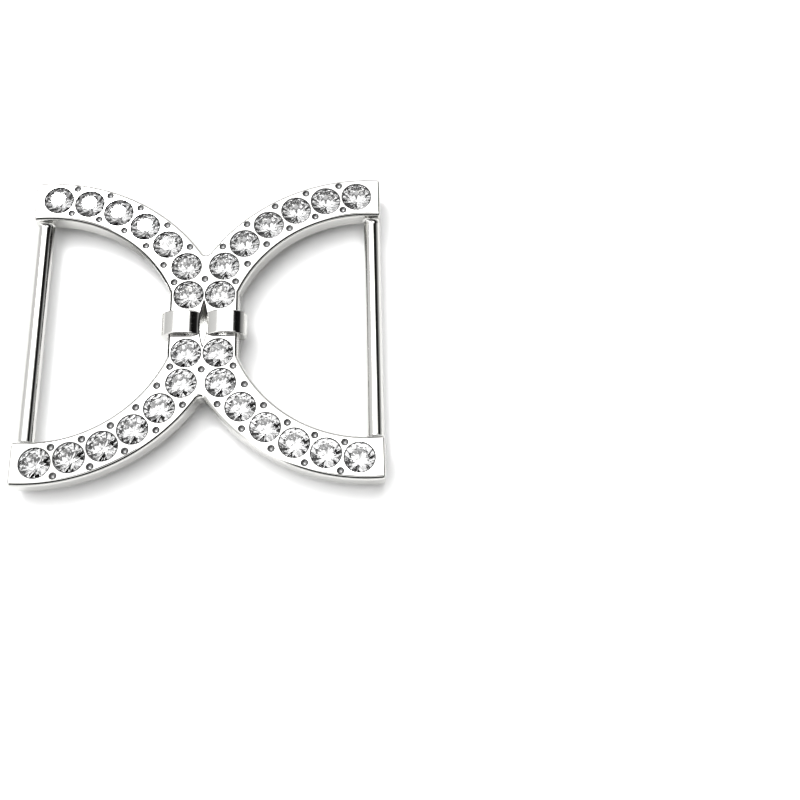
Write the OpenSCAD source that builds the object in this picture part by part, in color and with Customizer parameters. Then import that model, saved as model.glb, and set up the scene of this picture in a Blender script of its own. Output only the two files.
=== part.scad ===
// Double strap buckle: two back-to-back D frames and their strap bars, cast in one.
// Twenty-eight round cut stones sit in drilled seats along the four arms.
// The buckle lies on its domed back, with the flat set face up.
// Millimetres. X runs across the two strap bars, Y along them, Z = 0 under the back.

/* [Outline] */
// Width across the arm ends
frame_w = 38; // [37.8:0.1:38.4]
// Distance of every arm arc's centre from the middle, across
arc_x = 17.4; // [17.3:0.1:17.5]
// Radius of an arm's outer edge
outer_r = 20.6; // [20.4:0.1:20.8]
// How far an outer arc's centre lies past the middle line
outer_drop = 3.1; // [3:0.1:3.2]
// Radius of an arm's inner edge
inner_r = 14.8; // [14.7:0.1:14.9]
// How far an inner arc's centre lies past the middle line
inner_drop = 2; // [1.9:0.1:2.1]
// Width of the waist between its two flat sides
waist_w = 7.5; // [7.4:0.1:7.7]

/* [Section] */
// Thickness from the front face to the crown of the back
frame_t = 3.5; // [3.4:0.1:3.8]
// Height of the straight side wall under the front face
wall_h = 1.9; // [1.8:0.1:2]
// Size of the softened front edge
edge_size = 0.25; // [0.2:0.05:0.3]
// Width of the step between the side wall and the domed back
rim_step = 0.1; // [0.05:0.05:0.15]
// How far the domed back curves in from the step before it runs level
dome_reach = 2.15; // [2.1:0.05:2.2]
// Size of the softened front edge at the arm ends
end_front = 0.3; // [0.2:0.05:0.35]
// Size of the softened back edge at the arm ends
end_back = 0.4; // [0.3:0.1:0.4]

/* [Strap bars] */
// Diameter of a strap bar
bar_d = 1.84; // [1.7:0.02:1.9]
// How far a bar's side lies inside the plane of the arm's end face
bar_inset = 0.03; // [0.03:0.01:0.2]
// Depth of a bar's axis below the front face
bar_depth = 1.85; // [1.8:0.05:1.95]
// How far a bar runs on inside the arm's inner wall
bar_root = 1.1; // [1:0.1:1.3]

/* [Bands and recess] */
// Length of the two raised bands along the waist
band_l = 2.7; // [2.5:0.1:2.8]
// Height of a band's crown above the front face
band_rise = 0.7; // [0.6:0.05:0.75]
// How far a band stands out past the waist's flat side
band_bulge = 0.8; // [0.7:0.05:0.85]
// Length of the pointed recess between the bands
recess_l = 5.3; // [5:0.1:5.5]
// Width of the recess at its middle
recess_w = 0.95; // [0.85:0.05:1]
// Depth of the recess below the front face
recess_depth = 2.2; // [1.8:0.1:2.3]

/* [Stones] */
// Diameter of a stone at its girdle
stone_d = 3.1; // [3:0.05:3.12]
// Radius of the curved row of stones
stone_row_r = 18.25; // [18.2:0.05:18.3]
// Direction of the first stone, next to the arm end
stone_first_deg = 93.2; // [93:0.1:93.4]
// Angle from one stone to the next
stone_step_deg = 10.83; // [10.8:0.01:10.86]
// Place of the stone beside the band, across
waist_stone_x = 1.69; // [1.67:0.01:1.72]
// Place of the stone beside the band, along the waist
waist_stone_y = 3.37; // [3.35:0.01:3.4]

/* [Dimples] */
// Diameter of a dimple at the front face
dimple_d = 0.75; // [0.6:0.05:0.8]
// Depth of a dimple
dimple_depth = 0.24; // [0.2:0.02:0.28]
// Distance of the outer row of dimples from the outer wall
dimple_outer_in = 0.75; // [0.72:0.01:0.8]
// Distance of the inner row of dimples from the inner wall
dimple_inner_in = 0.9; // [0.85:0.01:0.95]
// Direction of the last inner dimple, beside the waist
dimple_last_deg = 150.5; // [150.3:0.1:150.7]
// Place of the single dimples on the middle line
dimple_mid_y = 5.24; // [5.2:0.02:5.3]

/* [Hidden] */
$fn = 96;
pass = 1;                 // how far a cutter passes the face that it cuts
join = 0.01;              // how far two shapes that make one cutter overlap
soft_deg = 6;             // angle at which a softened edge meets a flat face
dome_h = frame_t - wall_h;
half_w = frame_w / 2;
waist_x = waist_w / 2;

// One circle through the step's edge that meets the level back at soft_deg
dome_r = (dome_reach * dome_reach + dome_h * dome_h)
       / (2 * (dome_h * cos(soft_deg) - dome_reach * sin(soft_deg)));
dome_in = rim_step + dome_reach + dome_r * sin(soft_deg);
dome_z = dome_r * cos(soft_deg);

bar_x = half_w - bar_inset - bar_d / 2;
bar_z = frame_t - bar_depth;
bar_end = sqrt(pow(inner_r, 2) - pow(bar_x - arc_x, 2)) - inner_drop + bar_root;

band_in = 0.33;                                  // where a band's inner foot starts
band_corner_r = 0.9;                             // round of a band over the waist's side
band_corner_x = waist_x + band_bulge - band_corner_r;
band_mid_x = 2.1;                                // where a band is highest
band_steps = 20;
band_corner_steps = 16;
band_corner_end = 200;                           // direction in which the round meets the side
band_root = 0.5;                                 // how deep a band's section runs into the frame
band_r = (pow(band_mid_x - band_in, 2) + pow(band_rise, 2)) / (2 * band_rise);
band_cz = frame_t + band_rise - band_r;
band_turn = asin((band_corner_x - band_mid_x) / (band_r - band_corner_r));
band_corner_z = band_cz + (band_r - band_corner_r) * cos(band_turn);

recess_r = (pow(recess_l / 2, 2) + pow(recess_w / 2, 2)) / recess_w;

dimple_r = (pow(dimple_d / 2, 2) + pow(dimple_depth, 2)) / (2 * dimple_depth);

// Cut of a stone, as shares of its girdle radius
table_share = 0.58;       // corners of the table
star_share = 0.8;         // points where the star facets end
lower_share = 0.3;        // points where the pavilion's main facets widen
crown_share = 0.27;       // height of the crown
girdle_share = 0.07;      // height of the girdle
pavilion_share = 0.86;    // depth of the pointed back
stone_sunk = 0.05;        // depth of the girdle's top edge below the front face
seat_fit = 0.03;          // gap between a stone and its seat
seat_extra = 0.04;        // how much deeper a seat is than its stone, as a share of the radius
seat_point_r = 0.06;      // radius at the bottom of a seat
facets = 8;
row_stones = 6;
arm_stones = row_stones + 1;
quadrants = [[1, 1], [-1, 1], [1, -1], [-1, -1]];
stone_count = arm_stones * len(quadrants);
turn_deg = 137.5;         // turn from one stone to the next, so that no two match

// Places on one arm, for the quadrant where x and y are positive
function row_point(r, deg) = [arc_x + r * cos(deg), r * sin(deg) - outer_drop];
function stone_point(i) =
    i < row_stones
    ? row_point(stone_row_r, stone_first_deg + i * stone_step_deg)
    : [waist_stone_x, waist_stone_y];
function between_deg(i) = stone_first_deg + (i + 0.5) * stone_step_deg;
function inner_row_r(deg) =
    let (r = inner_r + dimple_inner_in, shift = outer_drop - inner_drop)
    shift * sin(deg) + sqrt(r * r - pow(shift * cos(deg), 2));
dimple_points = concat(
    [for (i = [0:row_stones - 2]) row_point(outer_r - dimple_outer_in, between_deg(i))],
    [for (i = [0:row_stones - 2]) row_point(inner_row_r(between_deg(i)), between_deg(i))],
    [row_point(inner_row_r(dimple_last_deg), dimple_last_deg)]);

// A ring of points about the Z axis, and an arc of points in a plane
function ring(n, r, z, first_deg = 0) =
    [for (i = [0:n - 1]) [r * cos(first_deg + i * 360 / n), r * sin(first_deg + i * 360 / n), z]];
function arc(cx, cz, r, from_deg, to_deg, n) =
    [for (i = [0:n]) let (a = from_deg + (to_deg - from_deg) * i / n)
        [cx + r * sin(a), cz + r * cos(a)]];

function stone_name(i) = str("stone_", i < 9 ? "0" : "", i + 1);

// What a softened corner of the given size takes off a wall, at its front or back face
module corner_cut(size, at_front) {
    corner_r = size / (cos(soft_deg) - sin(soft_deg));
    corner_in = corner_r * cos(soft_deg);
    difference() {
        translate([-pass, at_front ? frame_t - size : -pass]) square(pass + size);
        translate([corner_in, at_front ? frame_t - corner_in : corner_in]) circle(corner_r);
    }
}

// What the softened front edge and the domed back take off a wall.
// X is the distance into the metal, Y the height.
module edge_cut() {
    corner_cut(edge_size, true);
    difference() {
        translate([-pass, -pass]) square([pass + rim_step + dome_reach, pass + dome_h]);
        translate([dome_in, dome_z]) circle(dome_r);
    }
}

// Metal removed outside one outer arc: the wall's edge all round it
module outer_edge_cut(side) {
    translate([arc_x, side * outer_drop, 0])
        rotate_extrude() translate([outer_r, 0]) mirror([1, 0]) edge_cut();
}

// One D filled solid, with its softened edges
module solid_d() {
    difference() {
        linear_extrude(frame_t) intersection() {
            translate([arc_x, -outer_drop]) circle(outer_r);
            translate([arc_x, outer_drop]) circle(outer_r);
            translate([-half_w, -frame_w]) square([2 * half_w, 2 * frame_w]);
        }
        outer_edge_cut(-1);
        outer_edge_cut(1);
    }
}

// The space inside one inner arc, flared where the edges are softened
module inner_space(side, reach) {
    translate([arc_x, side * inner_drop, 0]) rotate_extrude() {
        translate([0, -reach]) square([inner_r, frame_t + 2 * reach]);
        translate([inner_r, 0]) edge_cut();
    }
}

// The space outside the waist's flat side, flared in the same way
module waist_space(reach) {
    translate([waist_x, frame_w / 2, 0]) rotate([90, 0, 0]) linear_extrude(frame_w) {
        translate([0, -reach]) square([2 * frame_w, frame_t + 2 * reach]);
        mirror([1, 0]) edge_cut();
    }
}

// The whole opening of the right D
module d_opening() {
    intersection() {
        inner_space(-1, pass);
        inner_space(1, 1.5 * pass);
        waist_space(2.5 * pass);
    }
}

// What is softened along the flat end face of the two right arms
module end_edge_cut() {
    translate([half_w, frame_w, 0]) rotate([90, 0, 0]) linear_extrude(2 * frame_w) mirror([1, 0]) {
        corner_cut(end_front, true);
        corner_cut(end_back, false);
    }
}

// One raised band: a low arch over the front that turns down the waist's side
module band() {
    profile = concat(
        arc(band_mid_x, band_cz, band_r, -asin((band_mid_x - band_in) / band_r), band_turn, band_steps),
        arc(band_corner_x, band_corner_z, band_corner_r, band_turn + soft_deg, band_corner_end,
            band_corner_steps),
        [[waist_x - band_root, dome_h + band_root], [band_in, frame_t - band_root]]);
    translate([0, band_l / 2, 0]) rotate([90, 0, 0]) linear_extrude(band_l) polygon(profile);
}

// The pointed recess between the two bands
module recess() {
    translate([0, 0, frame_t - recess_depth])
        linear_extrude(recess_depth + band_rise + pass) intersection() {
            translate([recess_r - recess_w / 2, 0]) circle(recess_r);
            translate([recess_w / 2 - recess_r, 0]) circle(recess_r);
        }
}

// The drilled seat of one stone, its mouth at the front face
module seat() {
    r = stone_d / 2;
    lip = stone_sunk + girdle_share * r + seat_fit;
    cone_h = (pavilion_share + seat_extra) * r;
    translate([0, 0, frame_t - lip]) cylinder(r = r + seat_fit, h = lip + pass);
    translate([0, 0, frame_t - lip - cone_h])
        cylinder(r1 = seat_point_r, r2 = r, h = cone_h + join);
}

module dimple() {
    translate([0, 0, frame_t - dimple_depth + dimple_r]) sphere(dimple_r);
}

// One strap bar, whose ends run into the two arms
module strap_bar() {
    translate([bar_x, bar_end, bar_z]) rotate([90, 0, 0]) cylinder(d = bar_d, h = 2 * bar_end);
}

// Repeats what stands in the quadrant where x and y are positive in all four
module all_quadrants(points) {
    for (q = quadrants, p = points) translate([q[0] * p[0], q[1] * p[1], 0]) children();
}

module frame() {
    color("silver") difference() {
        union() {
            difference() {
                union() {
                    solid_d();
                    mirror([1, 0, 0]) solid_d();
                }
                d_opening();
                mirror([1, 0, 0]) d_opening();
                end_edge_cut();
                mirror([1, 0, 0]) end_edge_cut();
            }
            for (side = [0, 1]) mirror([side, 0, 0]) {
                band();
                strap_bar();
            }
        }
        recess();
        all_quadrants([for (i = [0:arm_stones - 1]) stone_point(i)]) seat();
        all_quadrants(dimple_points) dimple();
        for (side = [-1, 1]) translate([0, side * dimple_mid_y, 0]) dimple();
    }
}

// One brilliant-cut stone about its own axis, with the girdle's top edge at Z = 0
module cut_stone() {
    r = stone_d / 2;
    half_deg = 180 / facets;
    table_z = crown_share * r;
    girdle_z = -girdle_share * r;
    point_z = girdle_z - pavilion_share * r;
    table_r = table_share * r;
    star_r = star_share * r;
    lower_r = lower_share * r;
    star_z = table_z * (r - star_r * cos(half_deg)) / (r - table_r);
    lower_z = point_z + (girdle_z - point_z) * lower_r * cos(half_deg) / r;
    table_at = 0;
    star_at = table_at + facets;
    girdle_at = star_at + facets;
    under_at = girdle_at + 2 * facets;
    lower_at = under_at + 2 * facets;
    point_at = lower_at + facets;
    points = concat(
        ring(facets, table_r, table_z),
        ring(facets, star_r, star_z, half_deg),
        ring(2 * facets, r, 0),
        ring(2 * facets, r, girdle_z),
        ring(facets, lower_r, lower_z, half_deg),
        [[0, 0, point_z]]);
    last = facets - 1;
    faces = concat(
        [[for (i = [last:-1:0]) table_at + i]],
        [for (i = [0:last]) let (j = (i + 1) % facets)
            [table_at + i, table_at + j, star_at + i]],
        [for (i = [0:last]) let (h = (i + last) % facets)
            [table_at + i, star_at + i, girdle_at + 2 * i, star_at + h]],
        [for (i = [0:last]) [star_at + i, girdle_at + 2 * i + 1, girdle_at + 2 * i]],
        [for (i = [0:last]) let (j = (2 * i + 2) % (2 * facets))
            [star_at + i, girdle_at + j, girdle_at + 2 * i + 1]],
        [for (i = [0:2 * facets - 1]) let (j = (i + 1) % (2 * facets))
            [girdle_at + i, girdle_at + j, under_at + j, under_at + i]],
        [for (i = [0:last]) [lower_at + i, under_at + 2 * i, under_at + 2 * i + 1]],
        [for (i = [0:last]) let (j = (2 * i + 2) % (2 * facets))
            [lower_at + i, under_at + 2 * i + 1, under_at + j]],
        [for (i = [0:last]) let (h = (i + last) % facets)
            [point_at, lower_at + h, under_at + 2 * i, lower_at + i]]);
    polyhedron(points, faces);
}

// Stone i of the buckle: seven on each arm, counted from the arm end
module stone(i) {
    q = quadrants[floor(i / arm_stones)];
    p = stone_point(i % arm_stones);
    color("white") translate([q[0] * p[0], q[1] * p[1], frame_t - stone_sunk])
        rotate([0, 0, i * turn_deg]) cut_stone();
}

frame();
for (i = [0:stone_count - 1])
    stone(i);
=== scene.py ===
"""A double D strap buckle set with round cut stones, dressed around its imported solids."""
import logging
import math
from dataclasses import dataclass
from enum import Enum
from typing import NamedTuple

import bmesh
import bpy
import numpy as np
from mathutils import Matrix, Vector


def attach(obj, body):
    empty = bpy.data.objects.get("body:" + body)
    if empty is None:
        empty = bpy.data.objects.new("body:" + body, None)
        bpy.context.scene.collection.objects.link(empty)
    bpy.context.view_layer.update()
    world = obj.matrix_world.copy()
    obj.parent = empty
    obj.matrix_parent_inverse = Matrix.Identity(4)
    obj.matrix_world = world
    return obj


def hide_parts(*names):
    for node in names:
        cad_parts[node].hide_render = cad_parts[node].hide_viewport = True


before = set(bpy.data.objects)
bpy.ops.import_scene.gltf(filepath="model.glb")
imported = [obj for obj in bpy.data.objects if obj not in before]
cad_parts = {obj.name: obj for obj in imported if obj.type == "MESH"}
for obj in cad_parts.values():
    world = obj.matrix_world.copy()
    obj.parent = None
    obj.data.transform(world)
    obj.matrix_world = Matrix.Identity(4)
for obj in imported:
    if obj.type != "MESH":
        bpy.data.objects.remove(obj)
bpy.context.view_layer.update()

LOG = logging.getLogger("buckle")

Pair = tuple[float, float]
Triple = tuple[float, float, float]

MM = 0.001                # metres in a millimetre
BODY = "root"             # the one body that everything rides on
SHADE = "exact_normal"    # corner attribute: the true normal of the surface
ZONE = "zone"             # face attribute: which finish a face takes
WELD = 1e4                # points closer than 1 / WELD millimetres are one point
WELD_SHIFT = 0.37         # keeps round sizes away from where the rounding turns
CIRCLE = 360.0            # degrees
QUARTER = math.pi / 2
SOFT = math.radians(6)    # angle at which a softened edge meets its neighbours
SOFT_SIZE = math.cos(SOFT) - math.sin(SOFT)    # size of a softened edge of radius 1
MIX_UNDER, MIX_OVER, MIXED = 4, 5, 1    # a mix node's sockets when it mixes vectors
DOWN, UP = (0.0, 0.0, -1.0), (0.0, 0.0, 1.0)
LEFT, RIGHT = (-1.0, 0.0, 0.0), (1.0, 0.0, 0.0)
NEAR, FAR = (0.0, -1.0, 0.0), (0.0, 1.0, 0.0)


class Zone(Enum):
    """Which part of the casting a face belongs to."""

    POLISHED = 0
    # SEAT takes a near-black finish: painted shade round the stones
    SEAT = 1
    RECESS = 2
    RECESS_FLOOR = 3
    # DIMPLE takes a dark finish: painted shade in the bowls
    DIMPLE = 4
    # RECESS_RIM takes a near-black finish: painted shade along the recess's edge
    RECESS_RIM = 5


class Cut(Enum):
    """How one closed mesh is combined with another."""

    KEEP_COMMON = "INTERSECT"
    TAKE_AWAY = "DIFFERENCE"
    JOIN = "UNION"


@dataclass(frozen=True)
class Run:
    """One smooth stretch of a section, drawn over two coordinates: across and up."""

    points: np.ndarray
    normals: np.ndarray       # what the points are shaded with

    def measured_from(self, across: float, sign: float) -> "Run":
        """Return the run moved to a wall, and flipped across if the sign is -1."""
        flip = np.array([sign, 1.0])
        return Run(self.points * flip + np.array([across, 0.0]), self.normals * flip)


def line(start: Pair, end: Pair, normal: Pair) -> Run:
    """Return a straight run.

    Args:
        start: First point, across and up.
        end: Last point.
        normal: Direction that the stretch faces.

    Returns:
        The run.
    """
    length = math.hypot(*normal)
    facing = (normal[0] / length, normal[1] / length)
    return Run(np.array([start, end], float), np.array([facing, facing], float))


def arc(centre: Pair, radius: float, span: Pair, steps: int, shaded: Pair | None = None) -> Run:
    """Return a round run. Directions are turned from straight up towards +across, in radians.

    Args:
        centre: Centre of the arc, across and up.
        radius: Radius of the arc.
        span: First and last direction from the centre.
        steps: Number of chords.
        shaded: First and last direction of the shading normals, if they differ from span.

    Returns:
        The run.
    """
    turn = np.linspace(*span, steps + 1)
    lit = np.linspace(*(shaded or span), steps + 1)
    around = np.stack([np.sin(turn), np.cos(turn)], 1)
    return Run(np.array(centre) + radius * around, np.stack([np.sin(lit), np.cos(lit)], 1))


def ease(share: float | np.ndarray) -> float | np.ndarray:
    """Return a share from 0 to 1 that starts and ends gently."""
    return share**2 * (3 - 2 * share)


def softened(radius: np.ndarray, turn: float) -> tuple[np.ndarray, np.ndarray]:
    """Return how far behind its end face, and how far inward, a softened end lies at a turn."""
    return radius * (math.cos(SOFT) - math.sin(turn)), radius * (math.cos(SOFT) - math.cos(turn))


def new_object(name: str, data: bpy.types.ID) -> bpy.types.Object:
    """Put new data into the scene.

    Args:
        name: Name of the object.
        data: Its mesh, lamp or camera.

    Returns:
        The object.
    """
    made = bpy.data.objects.new(name, data)
    bpy.context.scene.collection.objects.link(made)
    return made


class Solid:
    """A closed mesh in millimetres, gathered from grids and flat caps with exact normals."""

    def __init__(self, zone: Zone = Zone.POLISHED) -> None:
        """Start empty.

        Args:
            zone: The zone that all its faces belong to.
        """
        self.zone = zone
        self.points: list[np.ndarray] = []
        self.normals: list[np.ndarray] = []
        self.faces: list[list[int]] = []
        self.count = 0

    def grid(self, points: np.ndarray, normals: np.ndarray) -> None:
        """Add a curved patch.

        Args:
            points: Rows by columns of places.
            normals: A shading normal for each of them.
        """
        rows, columns = points.shape[:2]
        at = np.arange(rows * columns).reshape(rows, columns)
        quads = np.stack([at[:-1, :-1], at[1:, :-1], at[1:, 1:], at[:-1, 1:]], -1).reshape(-1, 4)
        self.points.append(points.reshape(-1, 3))
        self.faces += (quads + self.count).tolist()
        self.normals.append(normals.reshape(-1, 3)[quads.ravel()])
        self.count += rows * columns

    def cap(self, points: np.ndarray, normal: Triple) -> None:
        """Add one flat face.

        Args:
            points: Its corners in order.
            normal: Direction that it faces.
        """
        self.points.append(points)
        self.faces.append(list(range(self.count, self.count + len(points))))
        self.normals.append(np.tile(np.array(normal, float), (len(points), 1)))
        self.count += len(points)

    def weld(self) -> tuple[np.ndarray, list[list[int]], np.ndarray]:
        """Join the patches where their points meet, and drop the faces that this empties.

        Returns:
            The places, each face as its places' numbers, and a normal for each face corner.
        """
        points = np.concatenate(self.points)
        keys = np.round(points * WELD + WELD_SHIFT).astype(np.int64)
        _, first, welded = np.unique(keys, axis=0, return_index=True, return_inverse=True)
        numbers = welded.ravel()
        faces: list[list[int]] = []
        kept: list[int] = []
        start = 0
        for face in self.faces:
            around = numbers[face].tolist()
            keep = [i for i, number in enumerate(around) if number != around[i - 1]]
            if len({around[i] for i in keep}) > 2:
                faces.append([around[i] for i in keep])
                kept += [start + i for i in keep]
            start += len(face)
        return points[first], faces, np.concatenate(self.normals)[kept]

    def build(self, name: str, places: list[Matrix] | None = None) -> bpy.types.Object:
        """Make one closed mesh of the solid, repeated at each place.

        Args:
            name: Name of the new object.
            places: Transforms of the copies, or none for one copy as drawn.

        Returns:
            The mesh object.
        """
        spots, faces, normals = self.weld()
        copies = places or [Matrix.Identity(4)]
        turns = [np.array(place.to_3x3()) for place in copies]
        moved = [spots @ turn.T + np.array(place.translation) for turn, place in zip(turns, copies)]
        mesh = bpy.data.meshes.new(name)
        mesh.from_pydata(
            np.concatenate(moved).tolist(),
            [],
            [[v + len(spots) * i for v in face] for i in range(len(copies)) for face in faces],
        )
        lit = mesh.attributes.new(SHADE, "FLOAT_VECTOR", "CORNER")
        lit.data.foreach_set("vector", np.concatenate([normals @ turn.T for turn in turns]).ravel())
        zones = mesh.attributes.new(ZONE, "INT", "FACE")
        zones.data.foreach_set("value", [self.zone.value] * len(mesh.polygons))
        face_outward(mesh)
        return new_object(name, mesh)


def face_outward(mesh: bpy.types.Mesh) -> None:
    """Turn every face of a closed mesh outward, and warn if it isn't closed.

    Args:
        mesh: The mesh that changes.
    """
    work = bmesh.new()
    work.from_mesh(mesh)
    bmesh.ops.recalc_face_normals(work, faces=work.faces)
    loose = sum(1 for edge in work.edges if not edge.is_manifold)
    if loose:
        LOG.warning("%s has %d open edges", mesh.name, loose)
    work.to_mesh(mesh)
    work.free()


def tube(rings: list[np.ndarray], normals: list[np.ndarray], ends: tuple[Triple, Triple]) -> Solid:
    """Draw a skin through rings of equal length, and close its two ends.

    Args:
        rings: The places round each ring.
        normals: A shading normal for each place.
        ends: Directions that the first and the last end face.

    Returns:
        The solid.
    """
    solid = Solid()
    skins = [np.array([np.vstack([row, row[:1]]) for row in rows]) for rows in (rings, normals)]
    solid.grid(*skins)
    solid.cap(rings[0], ends[0])
    solid.cap(rings[-1], ends[1])
    return solid


def turned(pairs: np.ndarray, around: np.ndarray) -> np.ndarray:
    """Turn a section about an upright axis.

    Args:
        pairs: Rows of across and up.
        around: The directions, as rows of x and y.

    Returns:
        Each row of the section in each direction.
    """
    level = pairs[None, :, 0, None] * around[:, None, :]
    up = np.broadcast_to(pairs[None, :, 1, None], level.shape[:2] + (1,))
    return np.concatenate([level, up], 2)


def lathe(runs: list[Run], centre: Pair, turns: np.ndarray, zone: Zone = Zone.POLISHED) -> Solid:
    """Turn a section about an upright axis, and close its flat ends.

    Args:
        runs: Section over radius and height, from its top to its bottom.
        centre: Place of the axis.
        turns: Directions in radians, the last one a full turn after the first.
        zone: The zone of its faces.

    Returns:
        The solid.
    """
    solid = Solid(zone)
    around = np.stack([np.cos(turns), np.sin(turns)], 1)
    middle = np.array([*centre, 0.0])
    for run in runs:
        solid.grid(turned(run.points, around) + middle, turned(run.normals, around))
    for run, end, facing in ((runs[0], 0, UP), (runs[-1], -1, DOWN)):
        radius, height = run.points[end]
        if radius > 1 / WELD:
            rim = np.column_stack([around[:-1] * radius, np.full(len(around) - 1, height)])
            solid.cap(rim + middle, facing)
    return solid


def full_turn(steps: int) -> np.ndarray:
    """Return the directions of an even full turn, in radians."""
    return np.linspace(0, 2 * math.pi, steps + 1)


def fine_turn(fine: Pair, step: float, coarse: float = 3.0) -> np.ndarray:
    """Return a full turn that is finely divided only where the edge is kept.

    Args:
        fine: First and last direction of the fine stretch, in degrees.
        step: Its step in degrees.
        coarse: Step of the rest in degrees.

    Returns:
        The directions in radians.
    """
    inside = np.linspace(*fine, round((fine[1] - fine[0]) / step) + 1)
    rest = np.linspace(fine[1], fine[0] + CIRCLE, round((CIRCLE - fine[1] + fine[0]) / coarse) + 1)
    return np.radians(np.concatenate([inside, rest[1:]]))


def prism(outline: list[Pair], low: float, high: float) -> Solid:
    """Return an upright block to trim or fill with, whose sides never show.

    Args:
        outline: Its corners, seen from above.
        low: Height of its bottom.
        high: Height of its top.

    Returns:
        The solid.
    """
    rings = [np.array([(x, y, height) for x, y in outline]) for height in (low, high)]
    return tube(rings, [np.zeros_like(ring) for ring in rings], (DOWN, UP))


def rectangle(half_x: float, half_y: float) -> list[Pair]:
    """Return the corners of a rectangle about the origin."""
    return [(-half_x, -half_y), (half_x, -half_y), (half_x, half_y), (-half_x, half_y)]


def combine(target: bpy.types.Object, tool: bpy.types.Object, how: Cut) -> None:
    """Combine a closed mesh with another one, which is then deleted.

    Args:
        target: The mesh that changes.
        tool: The mesh that it is combined with.
        how: What is kept.
    """
    modifier = target.modifiers.new(how.name, "BOOLEAN")
    modifier.operation = how.value
    modifier.solver = "MANIFOLD"
    modifier.object = tool
    graph = bpy.context.evaluated_depsgraph_get()
    result = bpy.data.meshes.new_from_object(
        target.evaluated_get(graph), preserve_all_data_layers=True, depsgraph=graph
    )
    target.modifiers.remove(modifier)
    old = target.data
    target.data = result
    bpy.data.meshes.remove(old)
    bpy.data.meshes.remove(tool.data)


def mirrored(x: float = 1.0, y: float = 1.0) -> Matrix:
    """Return the transform that flips across x or y where the value is -1."""
    return Matrix.Diagonal((x, y, 1.0, 1.0))


SIDES = [mirrored(), mirrored(-1)]
QUADRANTS = [(1.0, 1.0), (-1.0, 1.0), (1.0, -1.0), (-1.0, -1.0)]
IN_QUADRANTS = [mirrored(*signs) for signs in QUADRANTS]


def at_points(points: list[Pair]) -> list[Matrix]:
    """Return the transforms that repeat an upright shape at the points in all four quadrants."""
    return [Matrix.Translation((x * p[0], y * p[1], 0)) for x, y in QUADRANTS for p in points]


@dataclass(frozen=True)
class ArmArc:
    """One of the two round walls of an arm, seen from above."""

    radius: float
    drop: float               # how far its centre lies past the middle line
    metal: float              # 1 if the metal lies outside it, -1 if it lies inside
    kept: Pair                # the stretch that shows, degrees
    step: float               # its chords, degrees


@dataclass(frozen=True)
class Plan:
    """The sizes of the arms and the waist, in millimetres, as in the solid."""

    outer: ArmArc = ArmArc(20.6, 3.1, -1.0, (82.0, 150.0), 0.45)
    inner: ArmArc = ArmArc(14.8, 2.0, 1.0, (81.0, 162.0), 0.5)
    arc_x: float = 17.4       # centre of every arm arc, across
    end_x: float = 19.0       # end faces of the arms
    waist_x: float = 3.75     # flat sides of the waist
    thick: float = 3.5
    wall_h: float = 1.9       # straight side wall under the front face
    edge: float = 0.48        # softened front edge
    step: float = 0.1         # ledge between the wall and the domed back
    step_round: float = 0.035
    round_steps: int = 4
    dome_reach: float = 2.15
    dome_steps: int = 22
    past: float = 1.0         # how far a cutter runs past what it cuts

    @property
    def dome_h(self) -> float:
        """Height of the domed back under the ledge."""
        return self.thick - self.wall_h

    @property
    def dome_end(self) -> float:
        """Distance into the metal at which the back is full."""
        return self.step + self.dome_reach

    @property
    def dome_r(self) -> float:
        """Radius of the dome's section."""
        rise, run = self.dome_h, self.dome_reach
        return (run**2 + rise**2) / (2 * (rise * math.cos(SOFT) - run * math.sin(SOFT)))

    @property
    def dome_centre(self) -> Pair:
        """Centre of the dome's section: distance into the metal, and height."""
        return self.dome_end + self.dome_r * math.sin(SOFT), self.dome_r * math.cos(SOFT)

    def wall_y(self, side: ArmArc, x: float | np.ndarray) -> float | np.ndarray:
        """Return the y of an upper arm's wall at each place across."""
        return np.sqrt(side.radius**2 - (x - self.arc_x) ** 2) - side.drop

    def arm_point(self, radius: float, degrees: float) -> Pair:
        """Return a place on the upper right arm, measured from the centre of its outer arc."""
        turn = math.radians(degrees)
        return self.arc_x + radius * math.cos(turn), radius * math.sin(turn) - self.outer.drop

    def lip(self, size: float, past: float, steps: int = 8) -> list[Run]:
        """Return the softened edge of a wall at the front face, and a rise above it.

        Args:
            size: Size of the softened edge.
            past: How far the rise goes above the front face.
            steps: Number of chords of the softened edge.

        Returns:
            Runs over the distance into the metal and the height, from the top down.
        """
        radius = size / SOFT_SIZE
        inside = radius * math.cos(SOFT)
        centre = (inside, self.thick - inside)
        return [
            line((size, self.thick + past), (size, self.thick), (-1, 0)),
            arc(centre, radius, (-SOFT, SOFT - QUARTER), steps, (0, -QUARTER)),
        ]

    def dome(self) -> Run:
        """Draw the section of the domed back, whose shading ends level.

        Returns:
            The run over the distance into the metal and the height.
        """
        centre, radius = self.dome_centre, self.dome_r
        rim = math.asin((centre[0] - self.step) / radius)
        dome = arc(centre, radius, (rim - math.pi, SOFT - math.pi), self.dome_steps)
        share = np.linspace(0, 1, self.dome_steps + 1) ** 2
        lit = np.linspace(math.pi - rim, math.pi - SOFT, self.dome_steps + 1) + SOFT * share
        return Run(dome.points, np.stack([-np.sin(lit), np.cos(lit)], 1))

    def wall_runs(self, past: float) -> list[Run]:
        """Return the section of the casting's edge: front edge, wall, ledge and domed back.

        Args:
            past: How far it runs on above the front face and below the back.

        Returns:
            Runs over the distance into the metal and the height, from the top down.
        """
        around, foot, full = self.step_round, self.dome_h, self.dome_end
        return [
            *self.lip(self.edge, past),
            line((0, self.thick - self.edge), (0, foot + around), (-1, 0)),
            arc((around, foot + around), around, (-QUARTER, -2 * QUARTER), self.round_steps),
            line((around, foot), (self.step, foot), (0, -1)),
            self.dome(),
            line((full, 0), (full, -past), (-1, 0)),
        ]


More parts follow.
